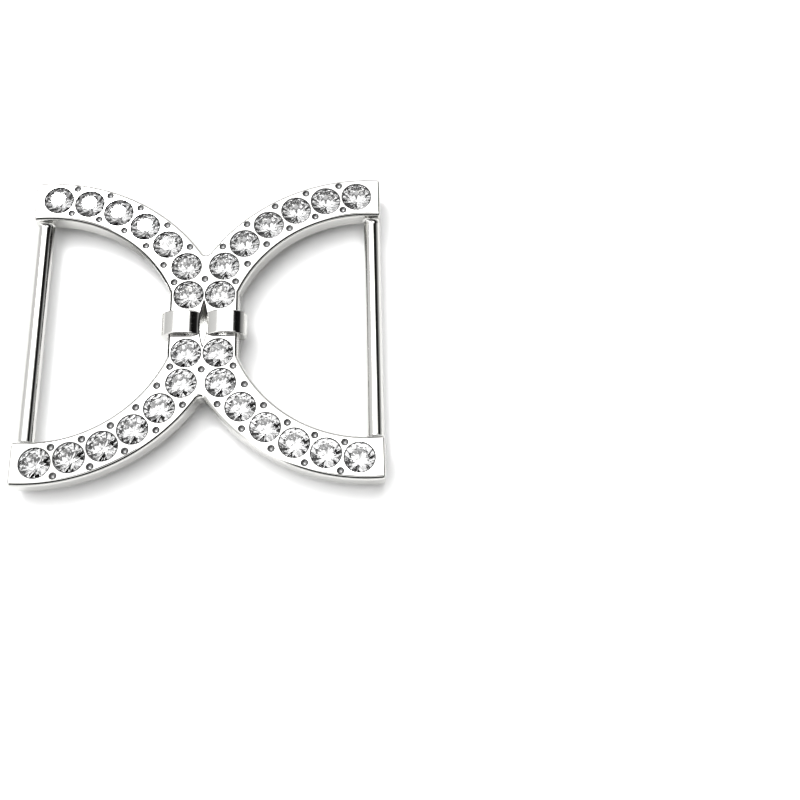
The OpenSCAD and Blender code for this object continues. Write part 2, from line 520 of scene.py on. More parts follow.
class RimPoint(NamedTuple):
    """One point round the section of an arm, where its end is softened."""

    side: float               # wall that it is measured from: 1 outer, -1 inner
    across: float             # distance from that wall
    height: float
    shrink_across: float      # how it moves when the section shrinks by one millimetre
    shrink_up: float
    lit_across: float         # the two shares of its normal
    lit_up: float
    size: float               # how far the end is softened there


@dataclass(frozen=True)
class Plate:
    """The four arms and the waist, before anything is added or drilled.

    Each tool stands past the plate by a share of its own, so that no two ends lie in one plane.
    """

    plan: Plan
    notch_r: float = 0.48     # hollow fillet where two outer arcs meet
    web_lap: float = 1.0      # how far its web reaches into full metal
    notch_fine: Pair = (208.0, 332.0)    # degrees
    notch_steps: Pair = (3.1, 6.0)       # degrees
    end_front: float = 0.27   # softening of the end faces at the front and the walls
    end_back: float = 0.4     # softening of the end faces at the back
    end_steps: int = 10
    wall_rows: Pair = (5.0, 2.0)         # heights of points over the wall's foot, in ledges
    rim_start: float = 0.06   # share of the dome at which the points round an end begin
    corner_lit: Pair = (-1.0, -0.3)      # shading of an end where the wall meets the ledge
    ledge_lit: Pair = (-0.9, -0.5)       # and where the ledge meets the dome
    ledge_in: float = 0.69    # how far that place moves inward as the section shrinks by one
    blank: Pair = (20.0, 22.0)           # half of the block that the plate is cut from
    trim_y: float = 25.0                 # half of the block that trims the ends
    trim_z: Pair = (-3.0, 7.0)
    trim_lap: float = 0.1
    outer_shares: tuple[Pair, Pair] = ((1, 1.0), (-1, 1.7))    # side, share
    twin_share: float = 1.3
    web_share: float = 1.15
    notch_share: float = 1.5
    opening_shares: Triple = (1.0, 1.5, 2.5)

    def disc(self, wall: ArmArc, side: float, past: float) -> Solid:
        """Return all that lies inside one arc of the right half, edged as the casting is.

        Args:
            wall: The arc.
            side: 1 for the arc above the middle line, -1 for the one below.
            past: How far it stands above and below the plate.

        Returns:
            The solid.
        """
        runs = [run.measured_from(wall.radius, wall.metal) for run in self.plan.wall_runs(past)]
        low, high = wall.kept
        kept = (low, high) if side > 0 else (CIRCLE - high, CIRCLE - low)
        return lathe(runs, (self.plan.arc_x, -side * wall.drop), fine_turn(kept, wall.step))

    def web(self, side: float, past: float) -> bpy.types.Object:
        """Return the metal that fills the notch between two outer arcs to a hollow fillet.

        Args:
            side: 1 for the notch above the middle line, -1 for the one below.
            past: How far it stands above and below the plate.

        Returns:
            The closed mesh.
        """
        plan, outer = self.plan, self.plan.outer
        span = outer.radius + self.notch_r
        half = math.asin(plan.arc_x / span)
        middle = span * math.cos(half) - outer.drop
        full = math.sqrt((outer.radius - plan.dome_end) ** 2 - plan.arc_x**2) - outer.drop
        out = self.notch_r + plan.dome_end + self.web_lap
        x, y = out * math.sin(half), middle - out * math.cos(half)
        wedge = prism([(0, middle), (x, y), (0, full - self.web_lap), (-x, y)], -past, plan.thick + past)
        walls = plan.wall_runs(self.notch_share * past)
        runs = [run.measured_from(self.notch_r, 1) for run in walls]
        notch = lathe(runs, (0.0, middle), fine_turn(self.notch_fine, *self.notch_steps))
        made = wedge.build("web", [mirrored(1, side)])
        combine(made, notch.build("notch", [mirrored(1, side)]), Cut.TAKE_AWAY)
        return made

    def waist_space(self, past: float) -> Solid:
        """Return the space right of the waist's flat side, flared at both faces.

        Args:
            past: How far it stands above and below the plate.

        Returns:
            The solid.
        """
        solid = Solid()
        plan = self.plan
        ends = np.array([plan.end_x, -plan.end_x])
        runs = [run.measured_from(plan.waist_x, -1) for run in plan.wall_runs(past)]
        far = plan.outer.radius + plan.end_x
        first, last = runs[0].points[0], runs[-1].points[-1]
        runs.append(line(tuple(last), (far, last[1]), (0, -1)))
        runs.append(line((far, last[1]), (far, first[1]), (1, 0)))
        runs.append(line((far, first[1]), tuple(first), (0, 1)))
        for run in runs:
            flat, lit = np.stack([run.points] * 2), np.stack([run.normals] * 2)
            y = np.broadcast_to(ends[:, None], flat.shape[:2])
            points = np.stack([flat[..., 0], y, flat[..., 1]], -1)
            solid.grid(points, np.stack([lit[..., 0], np.zeros_like(y), lit[..., 1]], -1))
        rim = np.concatenate([run.points[:-1] for run in runs])
        for y, facing in zip(ends, (FAR, NEAR)):
            solid.cap(np.column_stack([rim[:, 0], np.full(len(rim), y), rim[:, 1]]), facing)
        return solid

    def opening(self) -> bpy.types.Object:
        """Carve out the whole space of the right D.

        Returns:
            The closed mesh.
        """
        inner = self.plan.inner
        lower, upper, side = (share * self.plan.past for share in self.opening_shares)
        space = self.disc(inner, -1, lower).build("opening")
        combine(space, self.disc(inner, 1, upper).build("upper"), Cut.KEEP_COMMON)
        combine(space, self.waist_space(side).build("side"), Cut.KEEP_COMMON)
        return space

    def arm_rim(self) -> list[RimPoint]:
        """List the points round an arm's section, for its softened end.

        Returns:
            The points, down the outer wall and up the inner one.
        """
        plan, front = self.plan, self.end_front
        lip = plan.lip(plan.edge, plan.past)[1]
        rim = [RimPoint(1, *p, *(-n), *n, front) for p, n in zip(lip.points, lip.normals)]
        foot = plan.dome_h
        lower = [foot + ledges * plan.step for ledges in self.wall_rows]
        for height in (plan.thick - 2 * plan.edge, *lower):
            rim.append(RimPoint(1, 0, height, 1, 0, -1, 0, front))
        rim.append(RimPoint(1, 0, foot, 1, 1, *self.corner_lit, front))
        rim.append(RimPoint(1, plan.step, foot, self.ledge_in, 1, *self.ledge_lit, front))
        centre, radius = plan.dome_centre, plan.dome_r
        start = math.acos((centre[0] - plan.step) / radius)
        for share in np.linspace(self.rim_start, 1, plan.dome_steps):
            turn = start + (QUARTER - SOFT - start) * share
            place = (centre[0] - radius * math.cos(turn), centre[1] - radius * math.sin(turn))
            lit = turn + SOFT * share**2
            inward = (math.cos(lit), math.sin(lit))
            size = front + (self.end_back - front) * ease(share)
            rim.append(RimPoint(1, *place, *inward, -inward[0], -inward[1], size))
        return rim + [point._replace(side=-1) for point in reversed(rim)]

    def arm_end(self) -> Solid:
        """Draw the softened end of the upper right arm, closed a little way inside it.

        Returns:
            The solid.
        """
        plan = self.plan
        side, across, height, in_y, in_z, lit_y, lit_z, size = np.array(self.arm_rim()).T
        radius = size / SOFT_SIZE
        turns = np.linspace(SOFT, QUARTER - SOFT, self.end_steps + 1)
        behind, inward = zip(*(softened(radius, turn) for turn in turns))
        start = np.full(len(side), plan.end_x - 2 * self.end_back)
        first = (start, -(plan.end_x - behind[0] - start) * math.tan(SOFT))
        stations = [first] + [(plan.end_x - back, move) for back, move in zip(behind, inward)]
        leans = [0.0, *np.linspace(0, QUARTER, self.end_steps + 1)]
        rings, normals = [], []
        for (x, move), lean in zip(stations, leans):
            wall = np.where(side > 0, plan.wall_y(plan.outer, x), plan.wall_y(plan.inner, x))
            y = wall - side * (across + move * in_y)
            rings.append(np.column_stack([x, y, height + move * in_z]))
            round_by = np.where(side > 0, plan.outer.radius, -plan.inner.radius)
            flat = np.column_stack([(x - plan.arc_x) / round_by * -lit_y, -side * lit_y, lit_z])
            flat /= np.linalg.norm(flat, axis=1)[:, None]
            normals.append(flat * math.cos(lean) + np.array([math.sin(lean), 0, 0]))
        return tube(rings, normals, (LEFT, RIGHT))

    def build(self) -> bpy.types.Object:
        """Cut the plate out of a block.

        Returns:
            The closed mesh.
        """
        plan = self.plan
        body = prism(rectangle(*self.blank), 0, plan.thick).build("casting")
        for side, share in self.outer_shares:
            past = share * plan.past
            discs = self.disc(plan.outer, side, past).build("disc")
            twin = self.disc(plan.outer, side, self.twin_share * past)
            combine(discs, twin.build("twin", [mirrored(-1)]), Cut.JOIN)
            combine(discs, self.web(side, self.web_share * past), Cut.JOIN)
            combine(body, discs, Cut.KEEP_COMMON)
        for flip in (1.0, -1.0):
            space = self.opening()
            space.data.transform(mirrored(flip))
            if flip < 0:
                space.data.flip_normals()
            combine(body, space, Cut.TAKE_AWAY)
        inside = plan.end_x - 2 * self.end_back + self.trim_lap
        ends = prism(rectangle(inside, self.trim_y), *self.trim_z).build("ends")
        combine(ends, self.arm_end().build("caps", IN_QUADRANTS), Cut.JOIN)
        combine(body, ends, Cut.KEEP_COMMON)
        return body


@dataclass(frozen=True)
class Band:
    """One of the two raised bands over the waist, drawn on the right."""

    plan: Plan
    length: float = 2.7
    rise: float = 0.7
    bulge: float = 0.8        # how far it stands past the waist's side
    foot_x: float = 0.33      # its foot beside the recess
    crest: Pair = (2.1, 2.6)  # where its level crest begins and ends
    fall_r: float = 2.4
    corner_r: float = 0.9
    lobe_drop: float = 0.7    # straight side of the lobe under that corner
    lobe_r: float = 0.5
    lobe_end: float = 200.0   # degrees
    section_steps: tuple[int, ...] = (24, 16, 14, 18)    # chords of rise, fall, corner, lobe
    sunk: float = 0.5         # how deep its hidden foot lies in the metal
    end_edge: float = 0.18    # softening of its ends
    lobe_edge: float = 0.35   # softening of its ends where it bulges past the waist
    lobe_share: float = 2.2   # how much sooner than the lobe's end that is reached
    end_steps: int = 8
    fillet_r: float = 0.3     # hollow fillet between its ends and the front face
    fillet_share: float = 0.8            # the most that it takes of the band's free height
    fillet_least: float = 0.02           # free height from which on there is a fillet
    fillet_sunk: float = 0.06            # how deep it starts in the metal
    fillet_steps: int = 7

    def section(self) -> tuple[Run, Run, Run]:
        """Draw the outline that is seen from its end.

        Returns:
            The rise from the recess, the fall from the crest, and the lobe at the side.
        """
        top = self.plan.thick + self.rise
        start, stop = self.crest
        reach = start - self.foot_x
        rise_r = (reach**2 + self.rise**2) / (2 * self.rise)
        corner_x = self.plan.waist_x + self.bulge - self.corner_r
        arm = self.fall_r - self.corner_r
        turn = math.asin((corner_x - stop) / arm)
        corner = (corner_x, top - self.fall_r + arm * math.cos(turn))
        steps = self.section_steps
        rise = arc((start, top - rise_r), rise_r, (-math.asin(reach / rise_r), 0), steps[0])
        fall = arc((stop, top - self.fall_r), self.fall_r, (0, turn), steps[1])
        upper = arc(corner, self.corner_r, (turn, QUARTER), steps[2])
        low = (corner_x + self.corner_r - self.lobe_r, corner[1] - self.lobe_drop)
        lower = arc(low, self.lobe_r, (QUARTER, math.radians(self.lobe_end)), steps[3])
        points = np.concatenate([upper.points, lower.points])
        return rise, fall, Run(points, np.concatenate([upper.normals, lower.normals]))

    def arch(self) -> Solid:
        """Draw the band with its two ends softened.

        Returns:
            The solid.
        """
        plan = self.plan
        rise, fall, lobe = self.section()
        foot = [[plan.waist_x - self.sunk, plan.dome_h + self.sunk], [self.foot_x, plan.thick - self.sunk]]
        points = np.concatenate([rise.points, fall.points, lobe.points[1:], foot])
        facing = np.concatenate([rise.normals, fall.normals, lobe.normals[1:], [[0, -1], [0, -1]]])
        share = np.clip(np.linspace(0, self.lobe_share, len(lobe.points) - 1), 0, 1)
        swell = self.end_edge + (self.lobe_edge - self.end_edge) * ease(share)
        level = np.full(len(rise.points) + len(fall.points), self.end_edge)
        radius = np.concatenate([level, swell, [0, 0]]) / SOFT_SIZE
        side = np.column_stack([facing[:, 0], np.zeros(len(facing)), facing[:, 1]])
        leans = np.linspace(0, QUARTER, self.end_steps + 1)
        rings, normals = [], []
        for turn, lean in zip(np.linspace(SOFT, QUARTER - SOFT, self.end_steps + 1), leans):
            behind, inward = softened(radius, turn)
            flat = points - facing * inward[:, None]
            rings.append(np.column_stack([flat[:, 0], self.length / 2 - behind, flat[:, 1]]))
            normals.append(side * math.cos(lean) + np.array([0, math.sin(lean), 0]))
        flip = np.array([1, -1, 1])
        rings = [ring * flip for ring in reversed(rings)] + rings
        normals = [normal * flip for normal in reversed(normals)] + normals
        return tube(rings, normals, (NEAR, FAR))

    def fillet(self) -> Solid:
        """Draw the hollow fillet under its +Y end.

        Returns:
            The solid.
        """
        plan = self.plan
        rise, fall, _ = self.section()
        ridge = np.concatenate([rise.points, fall.points[1:]])
        free = ridge[:, 1] - plan.thick - self.end_edge
        inside = (free > self.fillet_least) & (ridge[:, 0] < plan.waist_x - plan.edge)
        turns = np.linspace(0, QUARTER, self.fillet_steps + 1)
        curve = np.column_stack([np.zeros(len(turns)), np.cos(turns), np.sin(turns)])
        wall, sunk = self.length / 2, self.fillet_sunk
        rings = []
        for (x, _), height in zip(ridge[inside], free[inside]):
            r = min(self.fillet_r, self.fillet_share * height)
            y = wall + r - r * np.cos(turns)
            z = plan.thick + r - r * np.sin(turns)
            y = np.concatenate([[wall - sunk, wall - sunk], y, [wall + r]])
            z = np.concatenate([[plan.thick - sunk, plan.thick + r], z, [plan.thick - sunk]])
            rings.append(np.column_stack([np.full(len(y), x), y, z]))
        return tube(rings, [np.vstack([NEAR, UP, curve, DOWN])] * len(rings), (LEFT, RIGHT))


@dataclass(frozen=True)
class StrapBar:
    """One of the two round bars that the strap turns on, drawn on the right."""

    plan: Plan
    radius: float = 0.92
    x: float = 18.05
    z: float = 1.65
    root: float = 1.1         # how far its ends run on inside the arms
    sides: int = 96
    fillet_r: float = 0.5     # hollow fillet on top of each end
    fillet_in: float = 0.04   # how far it stays inside the end face
    fillet_sunk: float = 0.12            # how deep it starts in the metal
    fillet_span: Pair = (20.0, 172.0)    # degrees round the bar
    fillet_fade: float = 0.7  # how soon it fades to its sides
    fillet_steps: tuple[int, int] = (39, 8)    # round the bar, and along it

    def rod(self) -> Solid:
        """Draw the bar itself.

        Returns:
            The solid.
        """
        reach = self.plan.wall_y(self.plan.inner, self.x) + self.root
        turns = full_turn(self.sides)[:-1]
        around = np.stack([np.cos(turns), np.zeros_like(turns), np.sin(turns)], 1)
        rings = [np.array([self.x, y, self.z]) + around * self.radius for y in (-reach, reach)]
        return tube(rings, [around, around], (NEAR, FAR))

    def fillet(self) -> Solid:
        """Draw the hollow fillet on top of its +Y end, fading to its sides.

        Returns:
            The solid.
        """
        around, along = self.fillet_steps
        turns = np.linspace(0, QUARTER, along + 1)
        bar, sunk = self.radius, self.fillet_sunk
        rings, normals = [], []
        for angle in np.radians(np.linspace(*self.fillet_span, around + 1)):
            r = self.fillet_r * math.sin(angle) ** self.fillet_fade
            if angle < QUARTER:
                room = (self.plan.end_x - self.fillet_in - self.x) / math.cos(angle) - bar
                r = min(r, room)
            out = np.concatenate([[bar - sunk, bar + r], bar + r - r * np.sin(turns), [bar - sunk]])
            away = np.concatenate([[-sunk, -sunk], r - r * np.cos(turns), [r]])
            x = self.x + out * math.cos(angle)
            y = self.plan.wall_y(self.plan.inner, x) - away
            rings.append(np.column_stack([x, y, self.z + out * math.sin(angle)]))
            rise = np.sin(turns)
            curve = np.column_stack([rise * math.cos(angle), -np.cos(turns), rise * math.sin(angle)])
            normals.append(np.vstack([FAR, FAR, curve, NEAR]))
        return tube(rings, normals, (DOWN, DOWN))


@dataclass(frozen=True)
class Recess:
    """The pointed recess between the bands, as a cutter."""

    plan: Plan
    length: float = 5.1
    width: float = 0.77
    depth: float = 2.2
    edge: float = 0.12        # chamfer round it
    rise: float = 0.2         # how far its outline reaches up the bands' feet
    rough_y: float = 1.6      # beyond this its walls are left unpolished
    past: Pair = (1.5, 0.2)   # how far its two halves stand above the plate, and their difference
    fine: float = 30.0        # half of the finely divided stretch, degrees
    fine_step: float = 1.0    # degrees
    floor_z: float = -0.9     # faces that look further down than this are its floor

    def half(self, flip: float) -> Solid:
        """Return the tall disc whose arc is one side of the recess.

        Args:
            flip: 1 for the disc whose centre lies right, -1 for the one left.

        Returns:
            The solid.
        """
        top = self.plan.thick
        radius = ((self.length / 2) ** 2 + (self.width / 2) ** 2) / self.width
        mouth, low, high = radius + self.edge, top - self.edge, top + self.rise
        runs = [
            line((mouth, top + self.past[0] + self.past[1] * flip), (mouth, high), (-1, 0)),
            line((mouth, high), (mouth, top), (-1, 0)),
            line((mouth, top), (radius, low), (-1, 1)),
            line((radius, low), (radius, top - self.depth), (-1, 0)),
        ]
        middle = CIRCLE / 2 if flip > 0 else 0.0
        turns = fine_turn((middle - self.fine, middle + self.fine), self.fine_step)
        return lathe(runs, (flip * (radius - self.width / 2), 0.0), turns, Zone.RECESS)

    def build(self) -> bpy.types.Object:
        """Make the cutter and tell its zones apart.

        Returns:
            The closed mesh.
        """
        made = self.half(1).build("recess")
        combine(made, self.half(-1).build("recess"), Cut.KEEP_COMMON)
        zones = made.data.attributes[ZONE].data
        low, high = self.plan.thick - self.edge, self.plan.thick + self.rise
        for face in made.data.polygons:
            polished = face.center.y < self.rough_y and face.center.z < low
            if face.normal.z < self.floor_z or polished:
                zones[face.index].value = Zone.RECESS_FLOOR.value
            # the chamfer round the mouth takes the near-black finish: painted shade along the recess's
            # edge
            elif low < face.center.z < high:
                zones[face.index].value = Zone.RECESS_RIM.value
        return made


@dataclass(frozen=True)
class StoneSeats:
    """The drilled seats of the stones, as cutters."""

    plan: Plan
    radius: float = 1.58
    wall: float = 0.1885      # straight wall at the mouth
    depth: float = 1.395      # cone below that wall
    ledge: float = 0.03       # between the wall and the cone
    tip_r: float = 0.06
    cone: Pair = (-0.68, 0.73)           # direction that the cone faces
    edge: float = 0.09
    edge_steps: int = 4
    sides: int = 72
    row_r: float = 18.25      # the row's radius about the outer arc's centre
    first: float = 93.2       # direction of the first stone, degrees
    step: float = 10.83       # degrees
    in_row: int = 6
    waist_stone: Pair = (1.69, 3.37)

    def seat(self) -> Solid:
        """Draw the cutter of one seat.

        Returns:
            The solid.
        """
        top = self.plan.thick
        shoulder, inner_r = top - self.wall, self.radius - self.ledge
        lip = self.plan.lip(self.edge, self.plan.past, self.edge_steps)
        runs = [run.measured_from(self.radius, 1) for run in lip]
        runs.append(line((self.radius, top - self.edge), (self.radius, shoulder), (-1, 0)))
        runs.append(line((self.radius, shoulder), (inner_r, shoulder), (0, 1)))
        runs.append(line((inner_r, shoulder), (self.tip_r, shoulder - self.depth), self.cone))
        # every face of the seat takes the near-black finish: painted shade for the dark ring round each
        # stone
        return lathe(runs, (0.0, 0.0), full_turn(self.sides), Zone.SEAT)

    def directions(self, count: int, shift: float = 0.0) -> list[float]:
        """Return stepped directions along the row in degrees, shifted by a share of a step."""
        return [self.first + (i + shift) * self.step for i in range(count)]

    def points(self) -> list[Pair]:
        """Return the places of the stones on the upper right arm."""
        row = [self.plan.arm_point(self.row_r, turn) for turn in self.directions(self.in_row)]
        return row + [self.waist_stone]


@dataclass(frozen=True)
class Dimples:
    """The small round dimples between the stones, as cutters."""

    plan: Plan
    seats: StoneSeats
    width: float = 0.75
    depth: float = 0.24
    edge: float = 0.05
    hollow_steps: int = 7
    edge_steps: int = 4
    sides: int = 32
    outer_in: float = 0.75    # how far the outer row lies inside the outer wall
    inner_in: float = 0.9
    last: float = 150.5       # direction of the inner row's last one, degrees
    middle_y: float = 5.24    # the two on the middle line

    def bowl(self) -> Solid:
        """Draw the cutter of one dimple, with a softened rim.

        Returns:
            The solid.
        """
        top, edge = self.plan.thick, self.edge
        radius = ((self.width / 2) ** 2 + self.depth**2) / (2 * self.depth)
        middle = top - self.depth + radius
        rim_z = top - edge * math.cos(SOFT)
        rim_r = math.sqrt((radius + edge) ** 2 - (rim_z - middle) ** 2)
        turn = math.atan2(rim_r, middle - rim_z)
        mouth = rim_r + edge * math.sin(SOFT)
        hollow = arc((0.0, middle), radius, (math.pi - turn, math.pi), self.hollow_steps)
        runs = [
            line((mouth, top + self.plan.past), (mouth, top), (-1, 0)),
            arc((rim_r, rim_z), edge, (SOFT, -turn), self.edge_steps, (0, -turn)),
            Run(hollow.points, -hollow.normals),
        ]
        # the whole bowl takes the dark finish: painted shade in the dimples
        return lathe(runs, (0.0, 0.0), full_turn(self.sides), Zone.DIMPLE)

    def inner_row_r(self, degrees: float) -> float:
        """Return how far the inner row lies from the outer arc's centre.

        Args:
            degrees: Direction from that centre.

        Returns:
            The distance.
        """
        shift = self.plan.outer.drop - self.plan.inner.drop
        turn = math.radians(degrees)
        radius = self.plan.inner.radius + self.inner_in
        return shift * math.sin(turn) + math.sqrt(radius**2 - (shift * math.cos(turn)) ** 2)

    def places(self) -> list[Matrix]:
        """List where the dimples are.

        Returns:
            One transform for each.
        """
        plan = self.plan
        between = self.seats.directions(self.seats.in_row - 1, 0.5)
        outer = [plan.arm_point(plan.outer.radius - self.outer_in, turn) for turn in between]
        inner = [plan.arm_point(self.inner_row_r(turn), turn) for turn in between + [self.last]]
        middle = [Matrix.Translation((0, y, 0)) for y in (self.middle_y, -self.middle_y)]
        return at_points(outer + inner) + middle


class Nodes:
    """A node tree that is laid out node by node, each with what feeds it."""

    def __init__(self, tree: bpy.types.NodeTree) -> None:
        """Hold the tree, and empty it."""
        self.tree = tree
        tree.nodes.clear()

    def add(self, kind: str, inputs: dict | None = None, **settings: object) -> bpy.types.Node:
        """Add a node.

        Args:
            kind: Blender's name for the node, without its ShaderNode prefix.
            inputs: For each input a value, or a socket or node that feeds it.
            settings: Properties of the node.

        Returns:
            The node, whose first output is the one that feeds others.
        """
        made = self.tree.nodes.new("ShaderNode" + kind)
        for name, value in settings.items():
            setattr(made, name, value)
        for key, value in (inputs or {}).items():
            source = value.outputs[0] if isinstance(value, bpy.types.Node) else value
            if isinstance(source, bpy.types.NodeSocket):
                self.tree.links.new(source, made.inputs[key])
            else:
                made.inputs[key].default_value = source
        return made

    def ramp(self, value: object, given: Pair, wanted: Pair = (0.0, 1.0),
             **settings: object) -> bpy.types.Node:
        """Add a node that maps the given range to the wanted one and is level outside it."""
        ends = dict(zip(("From Min", "From Max", "To Min", "To Max"), (*given, *wanted)))
        return self.add("MapRange", {"Value": value, **ends}, **settings)


def new_material(name: str) -> tuple[bpy.types.Material, Nodes]:
    """Start a material.

    Args:
        name: Its name.

    Returns:
        The material and its empty node tree.
    """
    made = bpy.data.materials.new(name)
    made.use_nodes = True
    return made, Nodes(made.node_tree)


@dataclass(frozen=True)
class PlatedMetal:
    """Bright plated and polished metal, with faint ripples, smears and wiping marks."""

    name: str = "bright_plating"
    colour: Triple = (0.56, 0.557, 0.54)
    roughness: float = 0.06
    ripple: float = 0.012
    ripple_scale: float = 420.0
    ripple_height: float = 0.0005        # metres
    smear_scale: float = 160.0
    smears: Pair = (0.35, 0.75)          # noise at which a smear begins and is full
    smeared: Pair = (0.6, 1.5)           # what it does to the roughness
    scratched: float = 0.1               # roughness that the fine wiping marks add
    scratches: Pair = (0.58, 0.7)
    scratch_turn: float = 0.6            # radians
    scratch_scale: Triple = (600.0, 26000.0, 900.0)

    def material(self) -> bpy.types.Material:
        """Lay out the finish.

        Returns:
            The finished material.
        """
        made, nodes = new_material(self.name)
        place = nodes.add("TexCoord").outputs["Object"]
        wave = nodes.add("TexNoise", {"Vector": place, "Scale": self.ripple_scale, "Detail": 2})
        height = {"Strength": self.ripple, "Distance": self.ripple_height, "Height": wave}
        smear = nodes.add("TexNoise", {"Vector": place, "Scale": self.smear_scale, "Detail": 5})
        least, most = (self.roughness * share for share in self.smeared)
        hand = {"Rotation": (0, 0, self.scratch_turn), "Scale": self.scratch_scale, "Vector": place}
        hairs = nodes.add("TexNoise", {"Vector": nodes.add("Mapping", hand), "Scale": 1, "Detail": 2})
        rough = nodes.add("Math", {
            0: nodes.ramp(smear, self.smears, (least, most)),
            1: nodes.ramp(hairs, self.scratches, (0.0, self.scratched)),
        }, operation="ADD")
        shader = nodes.add("BsdfPrincipled", {
            "Base Color": (*self.colour, 1),
            "Metallic": 1,
            "Roughness": rough,
            "Normal": nodes.add("Bump", height),
        })
        nodes.add("OutputMaterial", {"Surface": shader})
        return made


FINISHES = {
    Zone.POLISHED: PlatedMetal(),
    # painted shade: every face of a stone seat is near black, for the dark ring round each stone
    Zone.SEAT: PlatedMetal("painted_shade_seat_plating", (0.10, 0.10, 0.10), 0.35, ripple=0.0),
    Zone.RECESS: PlatedMetal("unpolished_plating", (0.82, 0.81, 0.78), 0.60, ripple=0.0),
    Zone.RECESS_FLOOR: PlatedMetal("satin_plating", (0.66, 0.66, 0.65), 0.28, ripple=0.0),
    # painted shade: the dimples' bowls are coloured dark, in place of the shade and dark reflections in
    # them
    Zone.DIMPLE: PlatedMetal("painted_shade_dimple_plating", (0.20, 0.20, 0.20), 0.35, ripple=0.0),
    # painted shade: the recess's chamfer is near black, for a dark outline on both sides
    Zone.RECESS_RIM: PlatedMetal("painted_shade_rim_plating", (0.08, 0.08, 0.08), 0.10, ripple=0.0),
}


@dataclass(frozen=True)
class Casting:
    """The plated metal casting in one piece, which stands for the solid frame."""

    plan: Plan = Plan()
    name: str = "polished_casting"
    least_normal: float = 0.1            # a shorter carried normal isn't one

    def build(self) -> bpy.types.Object:
        """Build the whole casting, in metres.

        Returns:
            The dressed object.
        """
        body = Plate(self.plan).build()
        band, bar = Band(self.plan), StrapBar(self.plan)
        for part in (band.arch(), bar.rod()):
            for side in SIDES:
                combine(body, part.build("added", [side]), Cut.JOIN)
        combine(body, band.fillet().build("fillets", IN_QUADRANTS), Cut.JOIN)
        combine(body, bar.fillet().build("roots", IN_QUADRANTS), Cut.JOIN)
        combine(body, Recess(self.plan).build(), Cut.TAKE_AWAY)
        seats = StoneSeats(self.plan)
        combine(body, seats.seat().build("seats", at_points(seats.points())), Cut.TAKE_AWAY)
        dimples = Dimples(self.plan, seats)
        combine(body, dimples.bowl().build("dimples", dimples.places()), Cut.TAKE_AWAY)
        self.shade(body.data)
        self.dress(body.data)
        body.data.transform(Matrix.Scale(MM, 4))
        body.name = body.data.name = self.name
        return body

    def shade(self, mesh: bpy.types.Mesh) -> None:
        """Give every corner the exact normal that its surface was drawn with.

        Args:
            mesh: The mesh that changes.
        """
        carried = np.zeros(len(mesh.loops) * 3, np.float32)
        mesh.attributes[SHADE].data.foreach_get("vector", carried)
        carried = carried.reshape(-1, 3)
        totals = np.zeros(len(mesh.polygons), np.int32)
        mesh.polygons.foreach_get("loop_total", totals)
        flats = np.zeros(len(mesh.polygons) * 3, np.float32)
        mesh.polygons.foreach_get("normal", flats)
        facing = np.repeat(flats.reshape(-1, 3), totals, 0)
        length = np.linalg.norm(carried, axis=1)[:, None]
        unit = carried / np.maximum(length, self.least_normal)
        carried = np.where(length > self.least_normal, unit, facing)
        carried *= np.where((carried * facing).sum(1) < 0, -1.0, 1.0)[:, None]
        mesh.shade_smooth()
        mesh.normals_split_custom_set(carried.tolist())

    def dress(self, mesh: bpy.types.Mesh) -> None:
        """Give every zone its own finish.

        Args:
            mesh: The mesh that changes.
        """
        mesh.materials.clear()
        for zone in Zone:
            mesh.materials.append(FINISHES[zone].material())
        zones = np.zeros(len(mesh.polygons), np.int32)
        mesh.attributes[ZONE].data.foreach_get("value", zones)
        mesh.polygons.foreach_set("material_index", zones)


@dataclass(frozen=True)
class CutGlass:
    """Clear cut glass whose pointed back is silvered."""

    name: str = "silvered_glass"
    bend: float = 1.56
    foil: Triple = (0.62, 0.62, 0.62)
    back: float = -0.2        # facets that look further down than this are silvered

    def material(self) -> bpy.types.Material:
        """Lay out the finish.

        Returns:
            The finished material.
        """
        made, nodes = new_material(self.name)
        facet = nodes.add("NewGeometry")
        axes = nodes.add("SeparateXYZ", {"Vector": facet.outputs["True Normal"]})
        outward = nodes.ramp(facet.outputs["Backfacing"], (0.0, 1.0), (1.0, -1.0))
        up = nodes.add("Math", {0: axes.outputs["Z"], 1: outward}, operation="MULTIPLY")
        silvered = nodes.add("Math", {0: up, 1: self.back}, operation="LESS_THAN")
        glass = nodes.add("BsdfGlass", {"IOR": self.bend, "Roughness": 0.0})
        mirror = nodes.add("BsdfGlossy", {"Color": (*self.foil, 1), "Roughness": 0.0})
        both = nodes.add("MixShader", {"Fac": silvered, 1: glass, 2: mirror})
        nodes.add("OutputMaterial", {"Surface": both})
        return made


@dataclass(frozen=True)
class Stones:
    """The round cut stones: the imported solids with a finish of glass."""

    prefix: str = "stone_"
    finish: CutGlass = CutGlass()

    def dress(self) -> list[bpy.types.Object]:
        """Give every stone its finish.

        Returns:
            The stones.
        """
        glass = self.finish.material()
        stones = [node for name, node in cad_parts.items() if name.startswith(self.prefix)]
        for stone in stones:
            stone.data.materials.clear()
            stone.data.materials.append(glass)
        return stones


@dataclass(frozen=True)
class PaleCard:
    """The matt white surface that the buckle lies on."""

    name: str = "pale_card"
    colour: Triple = (0.84, 0.84, 0.84)
    roughness: float = 0.9
    gloss: float = 0.1

    def material(self) -> bpy.types.Material:
        """Lay out the finish.

        Returns:
            The finished material.
        """
        made, nodes = new_material(self.name)
        shader = nodes.add("BsdfPrincipled", {
            "Base Color": (*self.colour, 1),
            "Roughness": self.roughness,
            "Specular IOR Level": self.gloss,
        })
        nodes.add("OutputMaterial", {"Surface": shader})
        return made


class Outlook(Nodes):
    """The world's node tree, with the direction that is looked in and its height."""

    def __init__(self, tree: bpy.types.NodeTree) -> None:
        """Empty the tree, and add the direction."""
        super().__init__(tree)
        self.direction = self.add("TexCoord").outputs["Generated"]
        self.height = self.add("SeparateXYZ", {"Vector": self.direction}).outputs["Z"]


def height_of(degrees: float) -> float:
    """Return the height of a direction at an elevation."""
    return math.sin(math.radians(degrees))


